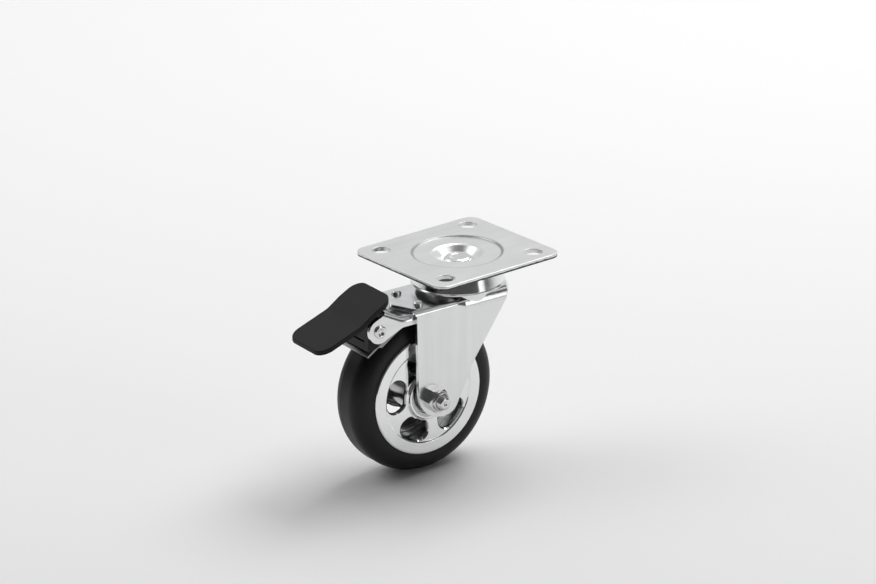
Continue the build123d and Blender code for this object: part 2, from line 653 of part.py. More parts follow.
def bracket_form(inset):
    """The bracket's outer skin, or its inner skin one sheet inside, as a solid form."""
    rise = tan(radians(BRACKET_RISE_ANGLE))
    half = BRACKET_HALF - inset
    top = BRACKET_TOP - inset
    front = BRACKET_FRONT - OVERRUN - inset
    back = BRACKET_BACK + inset
    lift = top + (BRACKET_RISE_X - front) * rise
    prism = side_cut(
        half,
        (back, top, 0),
        (back, top - DEEP, 0),
        (front, top - DEEP, 0),
        (front, lift, 0),
        (BRACKET_RISE_X, top, 12.0 + inset),
    )
    if inset < BRACKET_BEND:
        tops = [edge for edge in prism.edges() if is_top_side_edge(edge, half, top)]
        prism = fillet(tops, BRACKET_BEND - inset)
    return prism


def is_top_side_edge(edge, half, top):
    """True for the two long upper edges that run along the fork."""
    centre = edge.center()
    on_side = abs(abs(centre.Y) - half) < 0.01
    return on_side and centre.Z > top - 1.0 and abs(edge.tangent_at(0.5).X) > 0.5


def brake_bracket():
    """A folded channel under the tongue, whose two ears carry the pedal's pin."""
    shell = bracket_form(0.0) - bracket_form(BRACKET_SHEET)
    slope = radians(22.0)
    touch_x = PIN_X - EAR_RADIUS * sin(slope)
    touch_z = PIN_Z + EAR_RADIUS * cos(slope)
    low_angle = radians(-55.0)
    low_x = PIN_X + EAR_RADIUS * cos(low_angle)
    low_z = PIN_Z + EAR_RADIUS * sin(low_angle)
    neck_z = touch_z + (BRACKET_FRONT - touch_x) * tan(slope)
    keep = side_cut(
        FORK_HALF,
        (BRACKET_BACK, 0, 0),
        (BRACKET_BACK, BRACKET_SIDE_BOTTOM, 1.0),
        (PIN_X + 16.0, BRACKET_SIDE_BOTTOM, 5.0),
        (low_x, low_z, 0),
        (PIN_X, PIN_Z, 0),
        (touch_x, touch_z, 0),
        (BRACKET_FRONT, neck_z, 0.8),
        (BRACKET_FRONT, 0, 0),
    )
    disc = Pos(PIN_X, 0, PIN_Z) * Cylinder(EAR_RADIUS, FORK_WIDTH, rotation=(90, 0, 0))
    bracket = shell & (keep + disc)
    hollow = Pos(BRACKET_FRONT, 0, 0) * Cylinder(11.0, DEEP)
    web_only = Box(DEEP, 2 * (BRACKET_HALF - BRACKET_BEND - 0.5), DEEP)
    bracket -= hollow & web_only
    bracket -= Pos(PIN_X, 0, PIN_Z) * Cylinder(PIN_DIAMETER / 2, DEEP, rotation=(90, 0, 0))
    return bracket - rivet_holes(RIVET_DIAMETER / 2 + RIVET_PLAY)


def bracket_rivets():
    """Two rivets with domed heads that clamp the bracket to the tongue."""
    shank = RIVET_DIAMETER / 2
    foot = SHOE_UNDER - SHOE_PLAY
    rivet = turned(
        (0, TONGUE_TOP + RIVET_HEAD_HEIGHT, 0),
        (RIVET_HEAD_RADIUS, TONGUE_TOP + RIVET_HEAD_HEIGHT, 1.3),
        (RIVET_HEAD_RADIUS, TONGUE_TOP, 0),
        (shank, TONGUE_TOP, 0),
        (shank, foot, 0),
        (RIVET_HEAD_RADIUS, foot, 0),
        (RIVET_HEAD_RADIUS, foot - 1.1, 0.6),
        (0, foot - 1.1, 0),
    )
    return group(Pos(RIVET_X, y, 0) * rivet for y in (-RIVET_SPACING / 2, RIVET_SPACING / 2))


def brake_shoe():
    """A pressed strip over the tread, held at its back and stiffened by side flanges."""
    up_x = SHOE_ALONG_Z * SHOE_SHEET
    up_z = -SHOE_ALONG_X * SHOE_SHEET
    web = side_cut(
        SHOE_HALF,
        (SHOE_BACK, SHOE_TOP, 0),
        (SHOE_BACK, SHOE_UNDER, 0),
        (SHOE_BEND_X, SHOE_UNDER, 5.0),
        (SHOE_FACE_X, SHOE_FACE_Z, 6.0),
        (SHOE_END_X, SHOE_END_Z, 0.3),
        (SHOE_END_X + up_x, SHOE_END_Z + up_z, 0.3),
        (SHOE_FACE_X + up_x, SHOE_FACE_Z + up_z + 0.1, 6.0),
        (SHOE_BEND_X - 0.2, SHOE_TOP, 5.0),
    )
    drop = SHOE_FLANGE / cos(radians(SHOE_SLOPE))
    end_x = SHOE_FACE_X + SHOE_FACE_LENGTH / 2 * SHOE_ALONG_X
    end_z = SHOE_FACE_Z + SHOE_FACE_LENGTH / 2 * SHOE_ALONG_Z
    flange = side_cut(
        SHOE_HALF,
        (SHOE_BEND_X - 2.0, SHOE_UNDER, 0),
        (SHOE_BEND_X - 2.0, SHOE_UNDER - drop, 1.2),
        (SHOE_FACE_X, SHOE_FACE_Z - drop, 6.0),
        (end_x, end_z - drop, 1.5),
        (end_x + 2.5 * SHOE_ALONG_X, end_z + 2.5 * SHOE_ALONG_Z, 0),
        (SHOE_FACE_X, SHOE_FACE_Z + 0.4, 0),
    )
    flange -= Box(3 * DEEP, 2 * (SHOE_HALF - SHOE_SHEET), 3 * DEEP)
    shoe = web + flange
    return shoe - rivet_holes(RIVET_DIAMETER / 2 + SHOE_PLAY)


def cam_flat(normal_angle, distance, along):
    """A point on a cam flat: along it by a length, measured from the pin's foot."""
    normal = radians(normal_angle)
    x = PIN_X + distance * cos(normal) + along * sin(normal)
    z = PIN_Z + distance * sin(normal) - along * cos(normal)
    return x, z


def shoe_distance(turn):
    """Distance from the pin to the shoe's upper face once the shoe has turned down."""
    normal = atan2(SHOE_ALONG_X, -SHOE_ALONG_Z)
    face = (SHOE_FACE_X - PIN_X) * cos(normal) + (SHOE_FACE_Z - PIN_Z) * sin(normal)
    rest = face - SHOE_SHEET
    arm_x = RIVET_X - PIN_X
    arm_z = (SHOE_TOP + SHOE_UNDER) / 2 - PIN_Z
    fixed = rest - arm_x * cos(normal) - arm_z * sin(normal)
    turned_normal = normal + radians(turn)
    reach = fixed + arm_x * cos(turned_normal) + arm_z * sin(turned_normal)
    return reach, degrees(turned_normal)


def beyond(start, end):
    """The point OVERRUN past end on the straight line from start."""
    run_x = end[0] - start[0]
    run_z = end[1] - start[1]
    stretch = 1 + OVERRUN / hypot(run_x, run_z)
    return start[0] + stretch * run_x, start[1] + stretch * run_z


def pedal_slab():
    """The tread plate: a bent strip trimmed to round corners, with softened edges."""
    belly = (PEDAL_BELLY_X, PEDAL_BELLY_Z)
    fold = (PEDAL_FOLD_X, PEDAL_FOLD_Z)
    top_x, top_z = beyond(belly, (PEDAL_TOP_X, PEDAL_TOP_Z))
    tip_x, tip_z = beyond(fold, (PEDAL_TIP_X, PEDAL_TIP_Z))
    strip = side_cut(
        PEDAL_WIDTH,
        (top_x, top_z, 0),
        (*belly, 30.0),
        (*fold, 12.0),
        (tip_x, tip_z, 0),
        (tip_x + 0.9, tip_z - PEDAL_SHEET, 0),
        (PEDAL_FOLD_X + 1.3, PEDAL_FOLD_Z - PEDAL_SHEET, 10.0),
        (PEDAL_BELLY_X + 1.5, PEDAL_BELLY_Z - PEDAL_SHEET, 30.0),
        (top_x + 1.0, top_z - PEDAL_SHEET, 0),
    )
    middle = (PEDAL_TOP_X + PEDAL_TIP_X) / 2
    length = PEDAL_TOP_X - PEDAL_TIP_X
    plan = Pos(middle, 0) * RectangleRounded(length, PEDAL_WIDTH, PEDAL_CORNER)
    slab = strip & extrude(plan, -DEEP)
    rim = [edge for edge in slab.edges() if is_rim_edge(edge)]
    return fillet(rim, PEDAL_EDGE)


def is_rim_edge(edge):
    """True for the edges of the pedal's outline, not its upright seams or cross seams."""
    along = edge.tangent_at(0.5)
    at_end = not PEDAL_TIP_X + 0.1 < edge.center().X < PEDAL_TOP_X - 0.1
    return abs(along.Z) < 0.99 and (at_end or abs(along.Y) < 0.99)


def pedal():
    """One moulding: a bent tread plate, and below it the cam block on the pin.

    The block ends in two flats.  The first lies along the shoe while the wheel is free.
    Pressing the pedal rolls the edge between them over the shoe and lays the second,
    deeper flat on it, which holds the shoe down.
    """
    rest_reach, rest_angle = shoe_distance(0.0)
    locked_reach, locked_angle = shoe_distance(SHOE_TRAVEL)
    first = rest_reach - CAM_REST_GAP
    second = locked_reach - CAM_LOCKED_GAP
    second_angle = locked_angle - PEDAL_TRAVEL
    spread = radians(rest_angle - second_angle)
    edge_along = (second - first * cos(spread)) / sin(spread)
    edge_x, edge_z = cam_flat(rest_angle, first, edge_along)
    back_along = (CAM_BACK_REACH - first * cos(radians(rest_angle))) / sin(radians(rest_angle))
    back_x, back_z = cam_flat(rest_angle, first, back_along)
    front_along = (CAM_FRONT - PIN_X - second * cos(radians(second_angle)))
    front_along /= sin(radians(second_angle))
    front_x, front_z = cam_flat(second_angle, second, front_along)
    block = side_cut(
        CAM_HALF,
        (PIN_X - 4.0, PEDAL_BELLY_Z - 1.0, 0),
        (PIN_X + 1.2, PIN_Z + EAR_RADIUS, 3.0),
        (back_x, PIN_Z + 4.3, 3.0),
        (back_x, back_z, 1.5),
        (edge_x, edge_z, 1.0),
        (front_x, front_z, 0.8),
        (CAM_FRONT, PEDAL_BELLY_Z - 6.5, 0),
        (PEDAL_FOLD_X + 2.0, PEDAL_FOLD_Z - 1.5, 0),
    )
    bore = Cylinder(PIN_DIAMETER / 2 + PIN_PLAY, DEEP, rotation=(90, 0, 0))
    slot = Pos(CAM_FRONT, 0, PIN_Z - 6.5) * Box(6.0, 2 * CAM_HALF - 9.0, 1.2)
    return pedal_slab() + block - Pos(PIN_X, 0, PIN_Z) * bore - slot


def pedal_pin():
    """The pin through the bracket's ears, with a flat round head at each end."""
    inner = BRACKET_HALF
    outer = inner + PIN_HEAD_HEIGHT
    pin = turned_on_axle(
        (0, -outer, 0),
        (PIN_HEAD_RADIUS, -outer, 0.5),
        (PIN_HEAD_RADIUS, -inner, 0),
        (PIN_DIAMETER / 2, -inner, 0),
        (PIN_DIAMETER / 2, inner, 0),
        (PIN_HEAD_RADIUS, inner, 0),
        (PIN_HEAD_RADIUS, outer, 0.5),
        (0, outer, 0),
    )
    return Pos(PIN_X, 0, PIN_Z) * pin


# ---- assembly --------------------------------------------------------------------------

def on_axle(solid):
    return Pos(AXLE_X, 0, AXLE_Z) * solid


def build():
    disc = rim_disc()
    outer_ring = bearing_outer_ring()
    inner_ring = bearing_inner_ring()
    fixed = {
        "top_plate": top_plate(),
        "race_housing": race_housing(),
        "kingpin": kingpin(),
        "lower_race": lower_race(),
    }
    swivelling = {
        "upper_balls": upper_balls(),
        "lower_balls": lower_balls(),
        "fork": fork(),
        "axle_bolt": on_axle(axle_bolt()),
        "axle_nut": on_axle(axle_nut()),
        "axle_collars": on_axle(axle_collars()),
        "spacer_sleeve": on_axle(spacer_sleeve()),
        "bearing_inner_ring_near": on_axle(inner_ring),
        "bearing_inner_ring_far": on_axle(mirrored(inner_ring)),
        "bearing_balls": on_axle(bearing_balls()),
        "bearing_outer_ring_near": on_axle(outer_ring),
        "bearing_outer_ring_far": on_axle(mirrored(outer_ring)),
        "bearing_shields": on_axle(bearing_shields()),
        "hub_tube": on_axle(hub_tube()),
        "rim_disc_near": on_axle(disc),
        "rim_disc_far": on_axle(mirrored(disc)),
        "tyre": on_axle(tyre()),
        "brake_bracket": brake_bracket(),
        "bracket_rivets": bracket_rivets(),
        "brake_shoe": brake_shoe(),
        "pedal": pedal(),
        "pedal_pin": pedal_pin(),
    }
    placed = {name: Rot(0, 0, REST_SWIVEL) * solid for name, solid in swivelling.items()}
    return {**fixed, **placed}


os.makedirs("parts", exist_ok=True)
for node, shape in build().items():
    export_step(shape, f"parts/{node}.step")
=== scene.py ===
# %% [markdown]
# # A swivel castor with a wheel brake
# The castor is bright plated pressed steel, a black rubber tyre and a black moulded pedal.
# Its construction comes packed as a fixed frame, so this script only gives it its looks.
# Every length below is in metres, in the frame's own axes: the origin is the middle of the
# mounting plate's top face and +Z is up.

# %% Load the frame
import json
import math

import bpy
import numpy as np
from mathutils import Matrix, Vector


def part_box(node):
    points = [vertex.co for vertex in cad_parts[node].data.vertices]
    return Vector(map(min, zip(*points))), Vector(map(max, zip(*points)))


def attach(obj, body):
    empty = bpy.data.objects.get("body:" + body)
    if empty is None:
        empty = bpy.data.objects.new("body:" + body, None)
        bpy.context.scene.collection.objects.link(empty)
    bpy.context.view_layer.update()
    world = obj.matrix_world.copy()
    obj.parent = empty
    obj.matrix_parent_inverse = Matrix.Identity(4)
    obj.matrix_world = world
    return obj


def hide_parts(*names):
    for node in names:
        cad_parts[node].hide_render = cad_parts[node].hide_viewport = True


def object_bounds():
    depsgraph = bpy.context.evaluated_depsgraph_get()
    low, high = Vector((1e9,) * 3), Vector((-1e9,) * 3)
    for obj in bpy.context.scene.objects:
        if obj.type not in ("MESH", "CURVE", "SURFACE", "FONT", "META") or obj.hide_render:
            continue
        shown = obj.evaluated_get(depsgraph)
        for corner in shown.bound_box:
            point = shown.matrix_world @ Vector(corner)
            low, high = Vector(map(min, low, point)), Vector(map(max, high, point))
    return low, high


MM = 0.001

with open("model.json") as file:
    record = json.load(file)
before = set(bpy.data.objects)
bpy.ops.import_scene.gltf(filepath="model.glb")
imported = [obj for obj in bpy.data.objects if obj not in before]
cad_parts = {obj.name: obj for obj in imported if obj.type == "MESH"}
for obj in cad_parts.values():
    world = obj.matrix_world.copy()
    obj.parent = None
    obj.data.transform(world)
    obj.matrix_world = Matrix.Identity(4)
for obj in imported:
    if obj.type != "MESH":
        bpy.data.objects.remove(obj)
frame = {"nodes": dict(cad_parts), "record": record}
frame_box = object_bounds()
print("nodes in the frame:", len(frame["nodes"]))

# %% [markdown]
# ## The wheel's own axes
# The castor was left standing a few degrees turned on its swivel, so the axle is not quite
# along Y. The frame's joint says where the axle is. Measuring each piece along that axis and
# away from it is safer than copying numbers, because the sizes then follow the frame.

# %% Read the axle from the frame
def joint_called(name):
    """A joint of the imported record."""
    return next(joint for joint in frame["record"]["behaviour"]["joints"] if joint["name"] == name)


spin = joint_called("wheel_spin")
AXLE_CENTRE = np.array(spin["pos_m"])
AXLE_ALONG = np.array(spin["axis"]) / np.linalg.norm(spin["axis"])
UP = np.array([0.0, 0.0, 1.0])
FORWARD = np.cross(AXLE_ALONG, UP)
SWIVEL_TURN = math.atan2(-AXLE_ALONG[0], AXLE_ALONG[1])


def corners_of(node):
    """All vertices of a frame node, as rows of x, y, z."""
    mesh = frame["nodes"][node].data
    flat = np.empty(3 * len(mesh.vertices))
    mesh.vertices.foreach_get("co", flat)
    return flat.reshape(-1, 3)


def axle_measures(node):
    """Of each vertex, its distance along the axle and its distance from the axle's line."""
    offset = corners_of(node) - AXLE_CENTRE
    along = offset @ AXLE_ALONG
    away = np.linalg.norm(offset - np.outer(along, AXLE_ALONG), axis=1)
    return along, away


def along_axle(node):
    """Lowest and highest distance of a node along the axle, from the wheel's middle."""
    along, away = axle_measures(node)
    return along.min(), along.max()


def round_axle(node):
    """Smallest and largest distance of a node's vertices from the axle's line."""
    along, away = axle_measures(node)
    return away.min(), away.max()


print("swivel turn in degrees:", round(math.degrees(SWIVEL_TURN), 2))
print("wheel radius in mm:", round(round_axle("tyre")[1] / MM, 2))

# %% [markdown]
# ## The camera
# A long lens two metres away keeps the plate's sides nearly parallel, as a catalogue
# picture does. Its direction is given as an azimuth, an elevation and a small roll, and the
# three axes of the camera follow from them, which is easier to read than a rotation matrix.

# %% Set up the camera
CAMERA_PLACE = Vector((-1.1631, -1.4849, 0.7062))
CAMERA_AZIMUTH = math.radians(-37.71)
CAMERA_ELEVATION = math.radians(21.21)
CAMERA_ROLL = math.radians(-1.3)
SENSOR_WIDTH = 36.0
FRAME_WIDTH = 876
FOCAL_PIXELS = 3400.0

back = Vector((
    math.sin(CAMERA_AZIMUTH) * math.cos(CAMERA_ELEVATION),
    -math.cos(CAMERA_AZIMUTH) * math.cos(CAMERA_ELEVATION),
    math.sin(CAMERA_ELEVATION),
))
level = Vector((math.cos(CAMERA_AZIMUTH), math.sin(CAMERA_AZIMUTH), 0.0))
upright = back.cross(level)
right = level * math.cos(CAMERA_ROLL) + upright * math.sin(CAMERA_ROLL)
top = upright * math.cos(CAMERA_ROLL) - level * math.sin(CAMERA_ROLL)

camera_data = bpy.data.cameras.new("camera")
camera_data.sensor_width = SENSOR_WIDTH
camera_data.lens = FOCAL_PIXELS * SENSOR_WIDTH / FRAME_WIDTH
camera = bpy.data.objects.new("camera", camera_data)
camera.matrix_world = Matrix.Translation(CAMERA_PLACE) @ Matrix((right, top, back)).transposed().to_4x4()
bpy.context.collection.objects.link(camera)
bpy.context.scene.camera = camera
bpy.context.scene.view_settings.view_transform = "Standard"
print("lens in mm:", round(camera_data.lens, 2))

# %% [markdown]
# ## Arithmetic on sockets
# Node trees are quick to draw by hand and slow to read in code. `Reading` wraps a socket,
# so that `0.2 + 0.1 * cloud` adds its Math nodes by itself, with the number on either
# side.

# %% Wrap a socket
class Reading:
    """A number or vector read off a surface; arithmetic on it builds Math nodes."""

    def __init__(self, finish, socket):
        self.finish = finish
        self.socket = socket

    def __add__(self, other):
        return self.finish.maths("ADD", self, other)

    def __sub__(self, other):
        return self.finish.maths("SUBTRACT", self, other)

    def __rsub__(self, other):
        return self.finish.maths("SUBTRACT", other, self)

    def __mul__(self, other):
        return self.finish.maths("MULTIPLY", self, other)

    def __pow__(self, other):
        return self.finish.maths("POWER", self, other)

    __radd__ = __add__
    __rmul__ = __mul__


print("operators on readings: + - * **")

# %% [markdown]
# ## One material
# `Finish` is one material. Its `node` method makes any node from a type, its settings and
# its sockets, and every other method is a short name for nodes that come back often. What
# is the same all over a surface goes straight onto the shader, so that it stays a number.

# %% Write the material class
class Finish:
    """One material, built round a Principled shader."""

    def __init__(self, name, constants):
        self.material = bpy.data.materials.new(name)
        self.material.use_nodes = True
        self.tree = self.material.node_tree
        self.shader = self.tree.nodes["Principled BSDF"]
        for socket, value in constants.items():
            self.shader.inputs[socket].default_value = value

    def node(self, kind, settings=(), sockets=(), output=0):
        """Any node: its settings are set first, then its sockets get values or links."""
        made = self.tree.nodes.new("ShaderNode" + kind)
        for key, value in dict(settings).items():
            setattr(made, key, value)
        for key, value in dict(sockets).items():
            self.feed(made.inputs[key], value)
        return Reading(self, made.outputs[output])

    def feed(self, socket, value):
        """Links a reading to a socket, or sets a plain value on it."""
        if isinstance(value, Reading):
            self.tree.links.new(value.socket, socket)
        else:
            socket.default_value = value

    def maths(self, operation, first, second):
        """A Math node on two numbers or readings."""
        return self.node("Math", {"operation": operation}, {0: first, 1: second})

    def size_of(self, value):
        """A number without its sign."""
        return self.maths("ABSOLUTE", value, 0.0)

    def between(self, value, low, high):
        """0 below low, 1 above high, and a smooth step from one to the other."""
        settings = {"interpolation_type": "SMOOTHSTEP"}
        sockets = {"Value": value, "From Min": low, "From Max": high}
        return self.node("MapRange", settings, sockets)

    def mixed(self, factor, first, second):
        """A colour between two colours."""
        return self.node("Mix", {"data_type": "RGBA"}, {0: factor, 6: first, 7: second}, 2)

    def place(self):
        """Where a point is on the object, in metres."""
        return self.node("TexCoord", output="Object")

    def stretched(self, scale, turn=(0, 0, 0), centre=(0, 0, 0)):
        """Object coordinates taken about a centre, turned back and scaled."""
        moved = self.node("Mapping", {"vector_type": "TEXTURE"}, {
            "Vector": self.place(), "Location": centre, "Rotation": turn,
        })
        return self.node("Mapping", (), {"Vector": moved, "Scale": scale})

    def cloud(self, size, vector, detail=3.0):
        """Soft noise from 0 to 1 with spots about as large as size."""
        sockets = {"Vector": vector, "Scale": 1 / size, "Detail": detail}
        return self.node("TexNoise", {"noise_dimensions": "3D"}, sockets)

    def wear(self, **inputs):
        """Feeds the shader's sockets that change over the surface."""
        for key, value in inputs.items():
            self.feed(self.shader.inputs[key.replace("_", " ")], value)
        return self.material

    def relief(self, heights, edge=0.0):
        """Stacks bumps, given as (height, depth in metres), on a normal with soft edges."""
        normal = None
        if edge:
            normal = self.node("Bevel", {"samples": 6}, {"Radius": edge})
        for height, depth in heights:
            sockets = {"Height": height, "Distance": depth, "Strength": 1.0}
            if normal:
                sockets["Normal"] = normal
            normal = self.node("Bump", (), sockets)
        return normal

    def parts(self, vector):
        """The x, y and z of a vector, as three readings."""
        split = self.node("SeparateXYZ", (), {"Vector": vector}).socket.node
        return [Reading(self, split.outputs[axis]) for axis in "XYZ"]

    def off_axle(self):
        """Distances along the wheel: across it, and away from the axle."""
        turn = (0, 0, SWIVEL_TURN)
        x, y, z = self.parts(self.stretched((1, 1, 1), turn, tuple(AXLE_CENTRE)))
        return y, (x * x + z * z) ** 0.5


print("shader kit ready")

# %% [markdown]
# ## Bright plated sheet
# The plate, drum, fork and brake bracket are cold-rolled sheet, pressed and then plated. The
# plating copies what is under it: the rolling direction leaves faint streaks, drawing leaves
# slow waves, and the barrel that the parts tumble in leaves a very fine grain. A flat metal
# shader looks like plastic chrome, so each of the three has its own noise. The streaks are
# one noise squeezed along the sheet, and the slow waves go into the bump, where they bend
# reflections. A Bevel node softens the blanked edges enough to catch a line of light.

# %% Name the sheet's colours
SHEET_TINT = (0.90, 0.905, 0.91, 1.0)
SHEET_SHADE = (0.66, 0.665, 0.67, 1.0)
# The shoe is the same plated steel as the rest; its far darker tints are painted shade.
SHOE_PAINTED_SHADE_TINT = (0.34, 0.34, 0.345, 1.0)
SHOE_SHADE = (0.22, 0.22, 0.225, 1.0)
PLATE_TINT = (0.86, 0.865, 0.87, 1.0)
PLATE_SHADE = (0.68, 0.685, 0.69, 1.0)
EDGE_SOFTNESS = 0.25 * MM
PLATE_SOFTNESS = 0.9 * MM
print("sheet tints from", SHEET_SHADE[0], "to", SHEET_TINT[0])

# %% [markdown]
# ## The plate's torn band and painted shade
# The lower half of the plate's cut sides is torn, as shears leave it. Its near-black tint is
# painted shade for the dark under the edge. The crease round its dish gets a darker tint,
# which is painted shade too. Both marks are masks worked out from the place on the plate:
# a rounded rectangle for the sides, and a circle for the crease.

# %% Write the plate's masks
# The torn band itself is real; its near-black tint is painted shade for the dark under the plate's edge.
TORN_PAINTED_SHADE = (0.05, 0.05, 0.051, 1.0)
TORN_TOP = -0.60 * MM
TORN_FADE = 0.25 * MM
TORN_RAGGED = 1.4 * MM
PLATE_CORNER = 7.0 * MM
CREASE_RADIUS = 26.8 * MM
CREASE_CORE = 0.2 * MM
CREASE_HALF_WIDTH = 1.5 * MM
# The crease ring's darker tint is painted shade; the share says how much of it is mixed in.
CREASE_SHADE_SHARE = 0.75
CREASE_PAINTED_SHADE = (0.30, 0.30, 0.305, 1.0)


def torn_edge_painted_shade(finish):
    """1 on the lower, torn half of the plate's cut sides, which gets painted shade, and 0 elsewhere.

    A rounded rectangle's rim is where the overshoot past its four corner centres, taken as
    one length, reaches the corner radius.
    """
    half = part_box("top_plate")[1]
    x, y, z = finish.parts(finish.place())
    past_x = finish.maths("MAXIMUM", finish.size_of(x) - (half.x - PLATE_CORNER), 0.0)
    past_y = finish.maths("MAXIMUM", finish.size_of(y) - (half.y - PLATE_CORNER), 0.0)
    overshoot = (past_x * past_x + past_y * past_y) ** 0.5
    on_rim = finish.between(overshoot, PLATE_CORNER - 0.32 * MM, PLATE_CORNER - 0.12 * MM)
    ragged = finish.cloud(1.6 * MM, finish.place(), 3.0)
    return on_rim * (1 - finish.between(z + ragged * TORN_RAGGED, TORN_TOP - TORN_FADE, TORN_TOP))


def crease_painted_shade(finish):
    """1 in the middle of the plate's crease ring, where painted shade goes, falling to 0 to each side."""
    x, y, z = finish.parts(finish.place())
    off_ring = finish.size_of((x * x + y * y) ** 0.5 - CREASE_RADIUS)
    return 1 - finish.between(off_ring, CREASE_CORE, CREASE_HALF_WIDTH)


print("crease ring across in mm:", round(2 * CREASE_RADIUS / MM, 1))

# %% [markdown]
# ## One finish for all the sheet
# The streaks, haze, waves, bands and grain go together in one function. It makes a finish for
# each part, because the sheet of each was rolled in another direction and shines otherwise.

# %% Make the plated finishes
def plated_sheet(
    name, streak_scale, turn, gloss, light=SHEET_TINT, dark=SHEET_SHADE, softness=EDGE_SOFTNESS,
    plate_marks_and_shade=False,
):
    """Plated sheet whose streaks run along the axis with the smallest scale."""
    finish = Finish(name, {"Metallic": 1.0})
    straight = finish.place()
    streaks = finish.cloud(1.1 * MM, finish.stretched(streak_scale, turn), 4.0)
    haze = finish.cloud(22 * MM, straight, 2.0)
    grain = finish.cloud(0.35 * MM, straight, 2.0)
    waves = finish.cloud(11 * MM, straight, 1.0)
    bands = finish.cloud(6 * MM, finish.stretched(streak_scale, turn), 1.0)
    tint = finish.mixed(0.30 * haze + 0.25 * streaks + 0.55 * bands, dark, light)
    # On the plate alone, painted shade darkens the crease ring and turns the torn band near black.
    if plate_marks_and_shade:
        tint = finish.mixed(CREASE_SHADE_SHARE * crease_painted_shade(finish), tint, CREASE_PAINTED_SHADE)
        tint = finish.mixed(torn_edge_painted_shade(finish), tint, TORN_PAINTED_SHADE)
    roughness = gloss + 0.10 * haze + 0.07 * streaks
    relief = finish.relief(
        [
            (waves, 0.030 * MM), (bands, 0.020 * MM),
            (streaks, 0.0015 * MM), (grain, 0.0008 * MM),
        ],
        softness,
    )
    return finish.wear(Base_Color=tint, Roughness=roughness, Normal=relief)


SWIVEL = (0, 0, SWIVEL_TURN)
plate_finish = plated_sheet(
    "plated_plate", (0.06, 1, 1), (0, 0, 0), 0.24, PLATE_TINT, PLATE_SHADE, PLATE_SOFTNESS, True,
)
drum_finish = plated_sheet("plated_drum", (1, 1, 0.10), (0, 0, 0), 0.07)
fork_finish = plated_sheet("plated_fork", (1, 1, 0.05), SWIVEL, 0.10)
bracket_finish = plated_sheet("plated_bracket", (0.08, 1, 1), SWIVEL, 0.10)
# The shoe's dark tints are painted shade.
shoe_finish = plated_sheet("shoe_painted_shade", (0.08, 1, 1), SWIVEL, 0.24, SHOE_PAINTED_SHADE_TINT, SHOE_SHADE)
print("sheet finishes:", plate_finish.name, drum_finish.name, fork_finish.name)

# %% [markdown]
# ## The polished rim
# The two rim halves are polished before plating, so they are close to a mirror. Polishing
# on a spinning wheel leaves rings round the axle. They are a sine of the distance from the
# axle, which a Mapping node centres on the wheel, and they show only on the flat ring. The
# wheel's interior is left unpolished, so it is a little rougher there; its much darker tint is
# painted shade between the two discs, which also darkens each window's rolled edge as it
# turns into the wheel.

# %% Make the rim's finish
RING_PITCH = 0.55 * MM
RING_INSET = 5.5 * MM
RING_HALF_WIDTH = 1.5 * MM
POLISH_START = 7.0 * MM
POLISH_FULL = 6.4 * MM
DULL_AND_SHADE_START = 0.75 * MM
DULL_AND_SHADE_FULL = 1.5 * MM
RIM_TINT = (0.95, 0.955, 0.96, 1.0)
RIM_SHADE = (0.86, 0.865, 0.87, 1.0)
RIM_INSIDE_PAINTED_SHADE = (0.36, 0.36, 0.365, 1.0)


def rim_face():
    """How far the flat ring of the rim stands from the wheel's middle, along the axle."""
    along, away = axle_measures("rim_disc_near")
    on_ring = np.abs(away - (away.max() - RING_INSET)) < RING_HALF_WIDTH
    return np.abs(along[on_ring]).max()


def polished_rim():
    """A mirror plate with polishing rings on the outer flat and painted shade within the wheel."""
    finish = Finish("polished_rim", {"Metallic": 1.0})
    across, away = finish.off_axle()
    rings = finish.maths("SINE", away * (math.tau / RING_PITCH), 0.0)
    outer = round_axle("rim_disc_near")[1]
    on_flat = finish.between(away, outer - POLISH_START, outer - POLISH_FULL)
    haze = finish.cloud(15 * MM, finish.place(), 2.0)
    waves = finish.cloud(9 * MM, finish.place(), 1.0)
    depth = rim_face() - finish.size_of(across)
    # Past the flat face the steel is rougher, which is real, and far darker, which is painted shade within
    # the wheel.
    inside_dull_and_shade = finish.between(depth, DULL_AND_SHADE_START, DULL_AND_SHADE_FULL)
    polished = finish.mixed(haze, RIM_SHADE, RIM_TINT)
    tint = finish.mixed(inside_dull_and_shade, polished, RIM_INSIDE_PAINTED_SHADE)
    relief = finish.relief(
        [(waves, 0.018 * MM), (rings * on_flat, 0.0012 * MM)], EDGE_SOFTNESS
    )
    roughness = 0.05 + 0.07 * haze + 0.06 * inside_dull_and_shade
    return finish.wear(Base_Color=tint, Roughness=roughness, Normal=relief)


print("rim face in mm:", round(rim_face() / MM, 2))
rim_finish = polished_rim()
print("rim finish:", rim_finish.name)

# %% [markdown]
# ## Turned, headed and ground steel
# The bolt, nut, rivets and pins are plated after turning or heading. They are a little
# rougher than the rim, with tiny dents from the barrel. The bearing's rings and the hub tube
# are ground and oiled rather than plated, so they are darker and greyer.

# %% Make the small parts' finishes
def small_steel(name, light, dark, gloss, dent):
    """Steel with fine dents; light and dark are the ends of its tint."""
    finish = Finish(name, {"Metallic": 1.0})
    dents = finish.cloud(0.6 * MM, finish.place(), 2.0)
    haze = finish.cloud(3 * MM, finish.place(), 3.0)
    tint = finish.mixed(haze, (dark, dark, dark, 1), (light, light, light, 1))
    relief = finish.relief([(dents, dent)], 0.15 * MM)
    return finish.wear(Base_Color=tint, Roughness=gloss + 0.12 * haze, Normal=relief)


